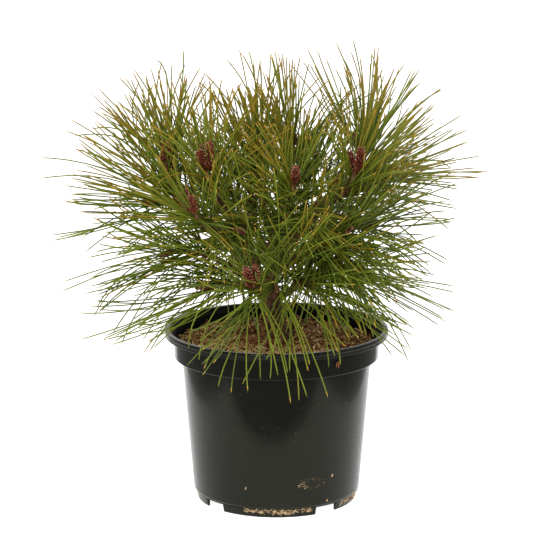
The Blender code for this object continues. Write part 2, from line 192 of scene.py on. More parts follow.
for groove_height, groove_depth in LIP_GROOVES:
    for share, depth in ((-1.0, 0.0), (-0.4, 0.8), (0.0, 1.0), (0.4, 0.8), (1.0, 0.0)):
        pot_profile.append((LIP_RADIUS - groove_depth * depth,
                            groove_height + GROOVE_HALF_WIDTH * share))
pot_profile += [
    *arc(LIP_RADIUS - 0.0005, LIP_TOP - 0.0005, 0.0005, 0, 90, 4),
    *arc(LIP_INNER + 0.0009, LIP_TOP - 0.0009, 0.0009, 90, 180, 4),
    (LIP_INNER - 0.0003, LIP_TOP - 0.0015), (BAND_TOP_RADIUS - WALL, LIP_BOTTOM + 0.0008),
    (BAND_FOOT_RADIUS - WALL, BAND_BOTTOM + WALL),
    (BODY_TOP_RADIUS - WALL, BAND_BOTTOM + WALL - 0.0003),
    (BODY_FOOT_RADIUS - WALL - 0.0006, FLOOR_TOP),
]
pot = turned("nursery_pot", pot_profile, POT_SIDES)
for azimuth in SLOT_AZIMUTHS:
    turn = math.radians(azimuth)
    reach = (FOOT_RING_INNER + FOOT_RADIUS) / 2
    bpy.ops.mesh.primitive_cube_add(
        size=1.0, location=(reach * math.cos(turn), reach * math.sin(turn), 0),
        rotation=(0, 0, turn), scale=(0.010, SLOT_WIDTH, 2 * SLOT_HEIGHT))
    slot_cutter = bpy.context.object
    slot_cut = pot.modifiers.new("slot", "BOOLEAN")
    slot_cut.operation = "DIFFERENCE"
    slot_cut.object = slot_cutter
    apply_modifier(pot, slot_cut)
    bpy.data.objects.remove(slot_cutter, do_unlink=True)
bpy.ops.object.select_all(action="DESELECT")
pot.select_set(True)
bpy.context.view_layer.objects.active = pot
bpy.ops.object.shade_smooth_by_angle(angle=math.radians(34))

black_plastic, shader, nodes, links = new_material(
    "black_plastic", (0.005, 0.005, 0.004), 0.30, 0.22)
shader.inputs["Specular Tint"].default_value = (1.0, 1.0, 0.84, 1.0)
wear = noise_field(nodes, links, 38.0, 8.0)
colour = ramp(nodes, links, wear, (
    (0.30, (0.0032, 0.0036, 0.0022)), (0.60, (0.0047, 0.0052, 0.0034)),
    (0.72, (0.0070, 0.0072, 0.0046)), (0.90, (0.0185, 0.0160, 0.0100))))
links.new(colour, shader.inputs["Base Color"])
gloss = noise_field(nodes, links, 90.0, 5.0)
matt = nodes.new("ShaderNodeMapRange")
matt.inputs["To Min"].default_value = 0.10
matt.inputs["To Max"].default_value = 0.24
links.new(gloss, matt.inputs["Value"])
links.new(matt.outputs["Result"], shader.inputs["Roughness"])
links.new(bump(nodes, links, gloss, 0.03, 0.0004), shader.inputs["Normal"])
# The inner wall gets a matt, less glossy copy of the plastic: painted shade that stands in for the
# crown's shade inside the pot.
inside_plastic_painted_shade, *_ = new_material("inside_plastic_painted_shade", (0.006, 0.006, 0.004), 0.75, 0.12)
pot.data.materials.clear()
pot.data.materials.append(black_plastic)
pot.data.materials.append(inside_plastic_painted_shade)
# Inward faces between the pot's floor and its lip take this painted shade.
for face in pot.data.polygons:
    inwards = face.normal.x * face.center.x + face.normal.y * face.center.y < 0
    if inwards and face.center.z > FLOOR_TOP and face.center.z < LIP_TOP - 0.0012:
        face.material_index = 1
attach(pot, "root")
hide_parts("pot")


# Soil
# Peat and shredded bark, packed to a little under the lip and mounded round the trunk.
# Its top is loose and fibrous; the root ball under it fills the pot.
SOIL_CROWN = 0.1655
SOIL_EDGE = 0.1592
SOIL_EDGE_RADIUS = 0.1008
SOIL_SIDES = 200
SOIL_RING_STEP = 0.0011


def soil_height(x, y):
    """The height of the soil's uneven top."""
    reach = math.hypot(x, y)
    share = min(reach / SOIL_EDGE_RADIUS, 1.0)
    base = SOIL_CROWN - 0.0008 + (SOIL_EDGE - SOIL_CROWN) * share ** 1.6
    lumps = 0.0014 * noise.noise(Vector((x, y, 0.0)) * 60)
    clods = 0.0012 * noise.noise(Vector((x, y, 0.4)) * 190)
    grains = 0.0008 * noise.noise(Vector((x, y, 0.7)) * 620)
    return base + lumps + clods + grains


ring_count = int(SOIL_EDGE_RADIUS / SOIL_RING_STEP)
soil_profile = [(SOIL_EDGE_RADIUS * ring / ring_count, SOIL_EDGE)
                for ring in range(1, ring_count + 1)]
soil_profile += [
    (BAND_FOOT_RADIUS - WALL - 0.0004, SOIL_EDGE - 0.0040),
    (BAND_FOOT_RADIUS - WALL - 0.0004, BAND_BOTTOM + WALL + 0.0006),
    (BODY_TOP_RADIUS - WALL - 0.0008, BAND_BOTTOM + WALL + 0.0003),
    (BODY_FOOT_RADIUS - WALL - 0.0014, FLOOR_TOP + 0.0004),
]
soil = turned("potting_soil", soil_profile, SOIL_SIDES)
for vert in soil.data.vertices:
    if vert.co.z > SOIL_EDGE - 0.0001:
        vert.co.z = soil_height(vert.co.x, vert.co.y)
soil.data.shade_smooth()

peat, shader, nodes, links = new_material("peat", (0.12, 0.07, 0.03), 0.95, 0.12)
patches = noise_field(nodes, links, 44.0, 6.0)
colour = ramp(nodes, links, patches, (
    (0.34, (0.016, 0.008, 0.004)), (0.46, (0.110, 0.052, 0.020)),
    (0.56, (0.290, 0.142, 0.055)), (0.70, (0.520, 0.325, 0.145))))
links.new(colour, shader.inputs["Base Color"])
crumbs = noise_field(nodes, links, 700.0, 4.0)
links.new(bump(nodes, links, crumbs, 0.8, 0.0014), shader.inputs["Normal"])
soil.data.materials.clear()
soil.data.materials.append(peat)
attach(soil, "root")
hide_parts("soil")


# Litter on the soil
# Shredded fibres, flakes of bark, fallen needles and a little moss, scattered on top.
# They lie loose, some of them arched, as they fell when the pot was filled.
def rods(name, lines, radii, sides):
    """Many closed, tapering rods along lines, as one piece.

    The lines are an array of rods by points by 3. With the piece come two arrays that
    tell, for each face, which rod it is on and how many steps along it.
    """
    count, points = lines.shape[:2]
    tangents = np.gradient(lines, axis=1)
    tangents /= np.linalg.norm(tangents, axis=2, keepdims=True)
    aside = np.where(np.abs(tangents[:, :1, 2:]) > 0.8, (1.0, 0.1, 0.0), (0.1, 0.0, 1.0))
    across = np.cross(tangents, aside)
    across /= np.linalg.norm(across, axis=2, keepdims=True)
    other = np.cross(tangents, across)
    angles = 2 * np.pi * np.arange(sides) / sides
    offsets = (across[:, :, None] * np.cos(angles)[:, None]
               + other[:, :, None] * np.sin(angles)[:, None])
    verts = lines[:, :, None] + offsets * radii[:, :, None, None]
    start = (np.arange(count) * points * sides)[:, None, None]
    ring = (np.arange(points - 1) * sides)[None, :, None]
    side = np.arange(sides)[None, None, :]
    after = (side + 1) % sides
    quads = np.stack([start + ring + side, start + ring + after,
                      start + ring + sides + after, start + ring + sides + side], axis=3)
    faces = quads.reshape(-1, 4).tolist()
    first = np.arange(count)[:, None] * points * sides
    last = first + (points - 1) * sides
    faces += (first + np.arange(sides)[::-1]).tolist()
    faces += (last + np.arange(sides)).tolist()
    mesh = bpy.data.meshes.new(name)
    mesh.from_pydata(verts.reshape(-1, 3), [], faces)
    step = np.concatenate([np.repeat(np.tile(np.arange(points - 1), count), sides),
                           np.zeros(count, int), np.full(count, points - 2)])
    owner = np.concatenate([np.repeat(np.arange(count), (points - 1) * sides),
                            np.arange(count), np.arange(count)])
    piece = bpy.data.objects.new(name, mesh)
    bpy.context.scene.collection.objects.link(piece)
    mesh.shade_smooth()
    return piece, owner, step


def scatter(rng, count, inner, outer, azimuths=(0, 360)):
    """Places on the soil between two distances from the axis."""
    reach = np.sqrt(rng.uniform(inner ** 2, outer ** 2, count))
    turn = np.radians(rng.uniform(*azimuths, count))
    return np.stack([reach * np.cos(turn), reach * np.sin(turn)], axis=1)


def strewn(rng, places, length, thickness, arch):
    """Lines and radii of strands that lie on the soil at given places, arched or tilted."""
    lines = []
    radii = []
    for x, y in places:
        turn = rng.uniform(0, 2 * math.pi)
        curl = rng.normal(0, 0.7)
        reach = rng.uniform(*length)
        rise = rng.uniform(0.0, arch)
        tilt = min(abs(rng.normal(0, 0.35)), 1.0) * min(reach, 0.012)
        thick = rng.uniform(*thickness)
        line = []
        for share in np.linspace(-0.5, 0.5, 5):
            bent = turn + curl * share
            px = x + reach * share * math.cos(bent)
            py = y + reach * share * math.sin(bent)
            away = math.hypot(px, py)
            if away > 0.0985:
                px *= 0.0985 / away
                py *= 0.0985 / away
            lift = rise * (1 - 4 * share * share) + tilt * (share + 0.5)
            line.append((px, py, soil_height(px, py) + thick * 0.5 + lift))
        lines.append(line)
        radii.append([thick * (1 - 0.6 * abs(2 * s)) for s in np.linspace(-0.5, 0.5, 5)])
    return np.array(lines), np.array(radii)


def paint(piece, *materials):
    """Give a piece its materials."""
    piece.data.materials.clear()
    for material in materials:
        piece.data.materials.append(material)


def settle(piece, slot_name, *replaced):
    """Let a piece ride on the plant and hide the solids it stands for; its slot name is not used."""
    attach(piece, "root")
    if replaced:
        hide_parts(*replaced)


def flakes(name, rng, places, sizes):
    """Flat, uneven chips that lie tilted on the soil, as one piece."""
    verts = []
    faces = []
    corners = 6
    for x, y in places:
        across = rng.uniform(*sizes)
        along = across * rng.uniform(0.4, 0.8)
        thick = across * rng.uniform(0.10, 0.2)
        turn = rng.uniform(0, 2 * math.pi)
        tilt_x, tilt_y = rng.normal(0, 0.28, 2)
        first = len(verts)
        for level in (-0.5, 0.5):
            for corner in range(corners):
                angle = 2 * math.pi * corner / corners + rng.uniform(-0.3, 0.3)
                px = across * 0.5 * math.cos(angle)
                py = along * 0.5 * math.sin(angle)
                pz = thick * level + px * tilt_x + py * tilt_y
                verts.append((x + px * math.cos(turn) - py * math.sin(turn),
                              y + px * math.sin(turn) + py * math.cos(turn),
                              soil_height(x, y) + thick * 0.4 + pz))
        low = list(range(first, first + corners))
        high = [index + corners for index in low]
        faces += [low[::-1], high]
        for corner in range(corners):
            after = (corner + 1) % corners
            faces.append((low[corner], low[after], high[after], high[corner]))
    mesh = bpy.data.meshes.new(name)
    mesh.from_pydata(verts, [], faces)
    piece = bpy.data.objects.new(name, mesh)
    bpy.context.scene.collection.objects.link(piece)
    return piece


def new_group(name, colours, outputs):
    """A shader node group that takes colours, with its nodes, links, entry and exit."""
    group = bpy.data.node_groups.new(name, "ShaderNodeTree")
    for colour in colours:
        group.interface.new_socket(name=colour, in_out="INPUT", socket_type="NodeSocketColor")
    for output, kind in outputs:
        group.interface.new_socket(name=output, in_out="OUTPUT", socket_type=kind)
    entry = group.nodes.new("NodeGroupInput")
    way_out = group.nodes.new("NodeGroupOutput")
    return group, group.nodes, group.links, entry, way_out


def blend(nodes, links, value, low, high, first, second):
    """A colour that goes from the first to the second as a value goes from low to high."""
    share = nodes.new("ShaderNodeMapRange")
    share.inputs["From Min"].default_value = low
    share.inputs["From Max"].default_value = high
    mix = nodes.new("ShaderNodeMix")
    mix.data_type = "RGBA"
    links.new(value, share.inputs["Value"])
    links.new(share.outputs["Result"], mix.inputs[0])
    links.new(first, mix.inputs[6])
    links.new(second, mix.inputs[7])
    return mix.outputs[2]


def place_group(nodes, group, colours):
    """A group placed in a material, with its own colours."""
    node = nodes.new("ShaderNodeGroup")
    node.node_tree = group
    for name, colour in colours.items():
        node.inputs[name].default_value = (*colour, 1.0)
    return node


wander_group, nodes, links, entry, way_out = new_group(
    "wandering_colour", ("Dark", "Pale"), (("Colour", "NodeSocketColor"),))
wander = noise_field(nodes, links, 260.0, 2.0)
colour = blend(nodes, links, wander, 0.35, 0.65, entry.outputs["Dark"], entry.outputs["Pale"])
links.new(colour, way_out.inputs["Colour"])


def fibre_material(name, dark, pale):
    """Dry plant matter whose colour wanders from piece to piece."""
    material, shader, nodes, links = new_material(name, pale, 0.9, 0.12)
    wander = place_group(nodes, wander_group, {"Dark": dark, "Pale": pale})
    links.new(wander.outputs["Colour"], shader.inputs["Base Color"])
    return material


litter_rng = np.random.default_rng(31)
straw = fibre_material("straw_fibre", (0.34, 0.21, 0.072), (0.82, 0.60, 0.30))
tan = fibre_material("tan_fibre", (0.170, 0.084, 0.029), (0.62, 0.38, 0.155))
bark_chip = fibre_material("bark_chip", (0.050, 0.018, 0.008), (0.42, 0.155, 0.060))
old_needle = fibre_material("old_needle", (0.13, 0.048, 0.018), (0.26, 0.12, 0.045))
moss = fibre_material("moss", (0.035, 0.050, 0.008), (0.11, 0.13, 0.024))

for name, material, count, reach, azimuths, length, thickness, arch in (
        ("straw_fibres_left", straw, 420, (0.046, 0.098), (128, 268), (0.003, 0.011),
         (0.0006, 0.0012), 0.0025),
        ("straw_fibres_front", straw, 230, (0.050, 0.098), (228, 300), (0.006, 0.016),
         (0.0004, 0.0009), 0.0030),
        ("straw_chips_right", straw, 300, (0.030, 0.098), (-62, 48), (0.002, 0.008),
         (0.0006, 0.0012), 0.0022),
        ("straw_fibres_back", straw, 90, (0.020, 0.098), (0, 180), (0.004, 0.012),
         (0.0004, 0.0009), 0.0030),
        ("tan_fibres", tan, 620, (0.016, 0.098), (0, 360), (0.004, 0.015),
         (0.0004, 0.0010), 0.0030),
        ("dark_fibres", bark_chip, 420, (0.016, 0.098), (0, 360), (0.004, 0.014),
         (0.0004, 0.0011), 0.0026),
        ("fallen_needles", old_needle, 44, (0.026, 0.080), (0, 360), (0.035, 0.075),
         (0.0005, 0.0007), 0.0040),
        ("moss_left", moss, 190, (0.072, 0.097), (112, 160), (0.002, 0.006),
         (0.0004, 0.0008), 0.0040),
        ("moss_front", moss, 60, (0.070, 0.094), (236, 262), (0.002, 0.005),
         (0.0004, 0.0007), 0.0020),
        ("moss_right", moss, 90, (0.056, 0.096), (-40, 50), (0.002, 0.006),
         (0.0004, 0.0008), 0.0024)):
    places = scatter(litter_rng, count, *reach, azimuths)
    lines, radii = strewn(litter_rng, places, length, thickness, arch)
    piece, owner, step = rods(name, lines, radii, 4)
    paint(piece, material)
    settle(piece, "potting_soil")

for name, material, count, reach, azimuths, sizes in (
        ("bark_chips", bark_chip, 150, (0.018, 0.096), (0, 360), (0.003, 0.009)),
        ("red_bark_by_trunk", bark_chip, 64, (0.018, 0.066), (218, 266), (0.006, 0.013)),
        ("pale_chips", straw, 90, (0.040, 0.096), (-54, 44), (0.002, 0.005)),
        ("pale_flakes", straw, 60, (0.055, 0.096), (150, 235), (0.002, 0.005)),
        ("peat_crumbs", tan, 260, (0.018, 0.096), (0, 360), (0.0015, 0.004))):
    places = scatter(litter_rng, count, *reach, azimuths)
    piece = flakes(name, litter_rng, places, sizes)
    paint(piece, material)
    settle(piece, "potting_soil")

# A few dry twigs stand or lean at the soil's edge
twig_feet = np.array([(0.058, 0.062), (0.072, 0.048), (0.090, 0.012), (0.030, 0.082)])
twig_tips = np.array([(0.078, 0.056, 0.176), (0.060, 0.064, 0.178),
                      (0.101, 0.006, 0.174), (0.052, 0.074, 0.172)])
lines = []
for (x, y), tip in zip(twig_feet, twig_tips):
    foot = np.array((x, y, soil_height(x, y) - 0.001))
    lines.append([foot, foot + (tip - foot) * 0.4 + (0, 0, 0.001), tip])
piece, owner, step = rods("dry_twigs", np.array(lines), np.full((4, 3), 0.0006), 5)
paint(piece, old_needle)
settle(piece, "potting_soil")


# Dried soil on the pot
# Soil has dried on the faces of the feet, and a few crumbs and a thin ring of mud have
# stuck to the body.
def on_body(azimuth, height):
    """A point on the pot's outer face, for heights below the band."""
    if height < FOOT_HEIGHT:
        radius = FOOT_RADIUS - FOOT_TAPER * (1 - height / FOOT_HEIGHT)
    else:
        share = (height - FOOT_HEIGHT) / (BAND_BOTTOM - FOOT_HEIGHT)
        radius = BODY_FOOT_RADIUS + (BODY_TOP_RADIUS - BODY_FOOT_RADIUS) * share
    turn = math.radians(azimuth)
    return radius * math.cos(turn), radius * math.sin(turn), height


def stuck_soil(name, rng, material, places, size, slimness, tilts):
    """Little bits of soil stuck to the pot at places of (azimuth, height)."""
    lines = []
    radii = []
    for azimuth, height in places:
        long = rng.uniform(*size)
        tilt = rng.uniform(*tilts)
        line = []
        for share in (-0.5, -0.2, 0.2, 0.5):
            along = math.degrees(long * share * math.cos(tilt) / BODY_FOOT_RADIUS)
            level = max(height + long * share * math.sin(tilt), 0.0012)
            line.append(on_body(azimuth + along, level))
        lines.append(line)
        radii.append(long * rng.uniform(*slimness) * np.array((0.5, 1.0, 0.9, 0.4)))
    piece, owner, step = rods(name, np.array(lines), np.array(radii), 5)
    paint(piece, material)
    settle(piece, "potting_soil")


crumb_rng = np.random.default_rng(47)
dried_soil = fibre_material("dried_soil", (0.14, 0.075, 0.030), (0.66, 0.50, 0.28))
thin_mud = fibre_material("thin_mud", (0.040, 0.032, 0.021), (0.18, 0.13, 0.075))
SLIM = (0.05, 0.09)
ROUND = (0.25, 0.42)
for name, material, count, azimuths, heights, size, slimness, tilts in (
        ("roots_on_front_foot", dried_soil, 140, (-114, -64), (0.0048, 0.0086),
         (0.0016, 0.0056), SLIM, (-0.9, 1.2)),
        ("roots_hanging_on_foot", dried_soil, 46, (-92, -80), (0.0034, 0.0072),
         (0.0024, 0.0050), SLIM, (0.5, 2.0)),
        ("roots_on_right_foot", dried_soil, 90, (-38, -8), (0.0030, 0.0084),
         (0.0020, 0.0046), SLIM, (0.2, 1.4)),
        ("roots_on_left_foot", dried_soil, 36, (-176, -158), (0.0020, 0.0082),
         (0.0014, 0.0034), SLIM, (-0.6, 1.2)),
        ("specks_on_body", dried_soil, 34, (-165, -15), (0.012, 0.130),
         (0.0003, 0.0006), ROUND, (-1.5, 1.5)),
        ("dust_on_body", thin_mud, 150, (-168, -12), (0.010, 0.135),
         (0.0003, 0.0008), ROUND, (-1.5, 1.5))):
    places = np.stack([crumb_rng.uniform(*azimuths, count), crumb_rng.uniform(*heights, count)], 1)
    stuck_soil(name, crumb_rng, material, places, size, slimness, tilts)

BIG_CRUMBS = ((-110.8, 0.0305), (-50.2, 0.0400), (-53.4, 0.0145))
stuck_soil("big_crumbs", crumb_rng, dried_soil, BIG_CRUMBS, (0.0026, 0.0038), (0.24, 0.34), (0.8, 1.8))
RING_PLACE = (-65.4, 0.0352)
RING_REACH = (8.0, 0.0047)
for name, material, count, turns, size in (
        ("mud_ring", thin_mud, 170, (0, 360), (0.0005, 0.0011)),
        ("mud_ring_left_end", dried_soil, 26, (140, 235), (0.0006, 0.0013)),
        ("mud_ring_top", thin_mud, 24, (10, 90), (0.0006, 0.0012))):
    angles = np.radians(crumb_rng.uniform(*turns, count))
    reach = crumb_rng.normal(1.0, 0.15, count)
    stuck_soil(name, crumb_rng, material, np.stack([
        RING_PLACE[0] + RING_REACH[0] * reach * np.cos(angles),
        RING_PLACE[1] + RING_REACH[1] * reach * np.sin(angles)], 1), size, (0.2, 0.34), (-1.5, 1.5))

# A dry scrap of leaf scale hangs on the band
SCRAP_AZIMUTH = -55.8
SCRAP_HEIGHT = 0.1605
SCRAP_STRANDS = 9
turn = math.radians(SCRAP_AZIMUTH)
outwards = np.array((math.cos(turn), math.sin(turn), 0.0))
sideways = np.array((-math.sin(turn), math.cos(turn), 0.0))
scrap = outwards * (BAND_TOP_RADIUS + 0.0006) + (0, 0, SCRAP_HEIGHT)
lines = []
for strand in range(SCRAP_STRANDS):
    swing = crumb_rng.uniform(-1.6, 0.9)
    way = sideways * math.cos(swing) + np.array((0, 0, math.sin(swing)))
    reach = crumb_rng.uniform(0.0022, 0.0058)
    lift = crumb_rng.uniform(0.0004, 0.0016)
    foot = scrap + sideways * crumb_rng.uniform(-0.0012, 0.0012)
    lines.append([foot, foot + way * reach * 0.55 + outwards * lift,
                  foot + way * reach + (0, 0, -0.25 * reach)])
piece, owner, step = rods(
    "dry_scrap_on_band", np.array(lines), np.tile((0.0005, 0.0006, 0.0002), (SCRAP_STRANDS, 1)), 5)
paint(piece, old_needle)
settle(piece, "potting_soil")


# Trunk and boughs
# A short trunk that forks low into boughs, and each bough into shoots. The young wood is
# reddish brown and rough with the scars of old needle bundles; the trunk's bark flakes.
TRUNK_FOOT = 0.1640
TRUNK_TOP = 0.2130
TRUNK_LEAN = -0.0070
GOLDEN_TURN = math.radians(137.508)

BOUGHS = {
    "left": (0.211, (42, 202, 281), 5.6),
    "left_out": (0.206, (50, 178, 262), 4.6),
    "low_left": (0.203, (24, 196, 220), 4.2),
    "front": (0.205, (30, 256, 216), 4.4),
    "centre": (0.213, (5, 120, 276), 6.0),
    "right": (("centre", 0.62), (36, 344, 298), 4.8),
    "right_low": (("centre", 0.30), (46, 330, 268), 4.2),
    "low_right": (0.204, (21, 346, 218), 4.2),
    "back_left": (("centre", 0.12), (40, 122, 268), 4.4),
    "back_right": (("centre", 0.24), (42, 55, 268), 4.4),
    "back_low": (0.207, (28, 92, 224), 4.2),
}

# Each shoot: its bough; its bud's place (reach, azimuth, height in mm); where it points
# (turn, lift); its needles' length and the leafy length in mm; how many bundles of
# needles it has; how far the lowest spread, in degrees; and how much they hang
SHOOTS = {
    "left_crown": ("left", (86, 216, 356), (225, 82), 104, 64, 44, 42, 0.04),
    "left_front": ("left", (115, 224, 317), (210, 72), 96, 56, 36, 50, 0.05),
    "left_out": ("left_out", (126, 176, 302), (184, -6), 122, 62, 34, 32, 0.08),
    "left_high": ("left_out", (110, 177, 350), (60, 78), 114, 62, 42, 34, 0.03),
    "left_low_out": ("low_left", (112, 196, 258), (184, -12), 114, 60, 32, 42, 0.10),
    "left_low": ("low_left", (80, 208, 224), (188, -16), 130, 46, 25, 40, 0.18),
    "front_low": ("front", (90, 254, 246), (250, 66), 120, 26, 30, 108, 0.34),
    "top_mid": ("centre", (33, 62, 361), (88, 84), 102, 58, 46, 42, 0.04),
    "top_left_mid": ("centre", (30, 130, 354), (10, 80), 104, 60, 44, 36, 0.03),
    "front_mid": ("centre", (52, 290, 339), (292, 80), 92, 58, 42, 50, 0.05),
    "right_crown": ("right", (86, 334, 349), (240, 82), 106, 64, 48, 38, 0.04),
    "right_top": ("right", (88, 22, 358), (175, 64), 114, 62, 60, 28, 0.03),
    "right_out": ("right", (104, 4, 322), (0, -12), 118, 60, 34, 36, 0.06),
    "right_low": ("right_low", (94, 322, 290), (312, 44), 100, 54, 40, 58, 0.12),
    "right_mid": ("right_low", (93, 351, 284), (356, -2), 104, 58, 30, 50, 0.12),
    "right_low_out": ("low_right", (80, 346, 238), (352, -10), 122, 56, 40, 42, 0.16),
    "front_right": ("low_right", (66, 300, 232), (328, -6), 126, 28, 38, 76, 0.26),
    "back_left_out": ("back_left", (100, 138, 314), (140, 56), 94, 60, 36, 52, 0.12),
    "back_left_mid": ("back_left", (88, 110, 326), (108, 66), 94, 60, 42, 54, 0.10),
    "back_right_out": ("back_right", (96, 48, 311), (54, 44), 90, 60, 34, 52, 0.12),
    "back_right_mid": ("back_right", (88, 68, 325), (76, 70), 92, 60, 42, 52, 0.10),
    "back_low_mid": ("back_low", (86, 88, 252), (95, 14), 100, 58, 52, 64, 0.30),
    "back_low_left": ("back_low", (84, 124, 253), (126, 8), 94, 58, 40, 60, 0.30),
    "back_low_right": ("back_low", (84, 52, 246), (52, 2), 94, 58, 36, 60, 0.30),
    "inner_left": ("left", (53, 184, 316), (199, 67), 94, 56, 34, 60, 0.08),
    "left_small": ("left_out", (106, 170, 350), (84, 84), 108, 54, 32, 28, 0.04),
    "front_base": ("front", (76, 270, 228), (268, -46), 118, 20, 22, 56, 0.06),
    "inner_front": ("left", (66, 238, 286), (240, 24), 96, 44, 42, 82, 0.14),
    "inner_right": ("right_low", (62, 318, 262), (310, 12), 98, 44, 42, 80, 0.16),
    "inner_mid": ("centre", (46, 284, 298), (284, 30), 98, 44, 42, 88, 0.10),
}


def polar(reach, azimuth, height):
    """A point from its reach off the pot's axis, its azimuth and its height, all in mm."""
    turn = math.radians(azimuth)
    return np.array([reach * math.cos(turn), reach * math.sin(turn), height]) / 1000


def heading(turn, lift):
    """The unit vector that points along a turn and a lift in degrees."""
    turn, lift = math.radians(turn), math.radians(lift)
    flat = math.cos(lift)
    return np.array([flat * math.cos(turn), flat * math.sin(turn), math.sin(lift)])


def bezier(start, via, end, share):
    """Points on the curve from start to end that is drawn towards via."""
    share = np.atleast_1d(share)[:, None]
    return (1 - share) ** 2 * start + 2 * share * (1 - share) * via + share ** 2 * end


def trunk_line(height):
    """The middle of the trunk at a height."""
    share = max(0.0, (height - TRUNK_FOOT) / (TRUNK_TOP - TRUNK_FOOT))
    return np.array([TRUNK_LEAN * share ** 1.4, 0.0, height])


def shoots_of(bough):
    """The names of the shoots that a bough carries, in order."""
    return [name for name, shoot in SHOOTS.items() if shoot[0] == bough]


def bough_path(name):
    """A bough's line from inside the wood that carries it to its fork."""
    start_at, fork, _ = BOUGHS[name]
    fork = polar(*fork)
    if isinstance(start_at, tuple):
        carrier, share = start_at
        line = bough_path(carrier)
        start = line[int(round(share * (len(line) - 1)))]
    else:
        start = trunk_line(start_at - 0.006)
    bud = polar(*SHOOTS[shoots_of(name)[0]][1])
    onward = (bud - start) / np.linalg.norm(bud - start)
    via = fork - onward * 0.5 * np.linalg.norm(fork - start)
    return bezier(start, via, fork, np.linspace(0, 1, 13))


def shoot_path(name, points=13):
    """A shoot's line from its bough's fork to its bud."""
    bough, place, point = SHOOTS[name][:3]
    start = bough_path(bough)[-1]
    bud = polar(*place)
    via = bud - heading(*point) * 0.45 * np.linalg.norm(bud - start)
    return bezier(start, via, bud, np.linspace(0, 1, points))


def evenly(path, step):
    """A path again, with its points a step apart."""
    lengths = np.linalg.norm(np.diff(path, axis=0), axis=1)
    along = np.concatenate([[0.0], np.cumsum(lengths)])
    stations = np.linspace(0, along[-1], max(3, int(along[-1] / step)))
    return np.stack([np.interp(stations, along, path[:, axis]) for axis in range(3)], axis=1)


def bark_relief(angle, along, radius, coarse):
    """How far the bark stands out, from spiral scars on young wood and flakes on old."""
    lift = 0.0
    spacing = 0.0011
    nearest = along / spacing
    for index in range(int(nearest) - 4, int(nearest) + 5):
        scar_angle = index * GOLDEN_TURN
        aside = math.atan2(math.sin(angle - scar_angle), math.cos(angle - scar_angle)) * radius
        rise = along - index * spacing
        lift = max(lift, 1 - math.hypot(aside / 0.0016, rise / 0.0030))
    spot = Vector((radius * math.cos(angle), radius * math.sin(angle), along))
    flakes = noise.cell(spot * 260) * 0.5 + 0.5 * noise.noise(spot * 420)
    return radius * ((1 - coarse) * 0.24 * lift + coarse * 0.11 * flakes)


def limb(name, path, radii, sides, coarse):
    """A closed limb with its bark's relief, drawn as rings along a path."""
    tangents = np.gradient(path, axis=0)
    tangents /= np.linalg.norm(tangents, axis=1)[:, None]
    across = np.cross(tangents[0], (0.31, 0.87, 0.12))
    lengths = np.concatenate([[0.0], np.cumsum(np.linalg.norm(np.diff(path, axis=0), axis=1))])
    verts = []
    for point, tangent, radius, along in zip(path, tangents, radii, lengths):
        across = across - tangent * np.dot(across, tangent)
        across /= np.linalg.norm(across)
        other = np.cross(tangent, across)
        for side in range(sides):
            angle = 2 * math.pi * side / sides
            out = radius + bark_relief(angle, along, radius, coarse)
            verts.append(point + out * (across * math.cos(angle) + other * math.sin(angle)))
    faces = [list(reversed(range(sides))),
             list(range((len(path) - 1) * sides, len(path) * sides))]
    for ring in range(len(path) - 1):
        for side in range(sides):
            after = (side + 1) % sides
            faces.append((ring * sides + side, ring * sides + after,
                          (ring + 1) * sides + after, (ring + 1) * sides + side))
    mesh = bpy.data.meshes.new(name)
    mesh.from_pydata(verts, [], faces)
    mesh.shade_smooth()
    piece = bpy.data.objects.new(name, mesh)
    bpy.context.scene.collection.objects.link(piece)
    return piece


bark_group, nodes, links, entry, way_out = new_group(
    "flaking_bark", ("Crack", "Bark", "Flake"),
    (("Colour", "NodeSocketColor"), ("Normal", "NodeSocketVector")))
flaking = noise_field(nodes, links, 260.0, 6.0, (1, 1, 0.45))
colour = blend(nodes, links, flaking, 0.32, 0.50, entry.outputs["Crack"], entry.outputs["Bark"])
colour = blend(nodes, links, flaking, 0.50, 0.70, colour, entry.outputs["Flake"])
links.new(colour, way_out.inputs["Colour"])
links.new(bump(nodes, links, noise_field(nodes, links, 900.0, 4.0), 0.5, 0.0006),
          way_out.inputs["Normal"])


def bark_material(name, crack, bark, flake):
    """Bark with darker cracks and paler flakes."""
    material, shader, nodes, links = new_material(name, bark, 0.9, 0.12)
    surface = place_group(nodes, bark_group, {"Crack": crack, "Bark": bark, "Flake": flake})
    links.new(surface.outputs["Colour"], shader.inputs["Base Color"])
    links.new(surface.outputs["Normal"], shader.inputs["Normal"])
    return material


old_bark = bark_material("trunk_bark", (0.022, 0.009, 0.005), (0.100, 0.045, 0.021),
                         (0.230, 0.125, 0.062))
young_bark = bark_material("shoot_bark", (0.034, 0.014, 0.007), (0.150, 0.069, 0.033),
                           (0.300, 0.180, 0.100))

shares = np.linspace(0, 1, 44)
heights = TRUNK_FOOT + (TRUNK_TOP - TRUNK_FOOT) * shares
trunk_radii = 0.0088 - 0.0008 * shares + 0.0056 * np.exp(-shares * 9.0)
trunk_radii[-3:] *= (0.97, 0.90, 0.70)
trunk = limb("trunk_wood", np.array([trunk_line(h) for h in heights]), trunk_radii, 40, 1.0)
paint(trunk, old_bark)
settle(trunk, "bark", "trunk")

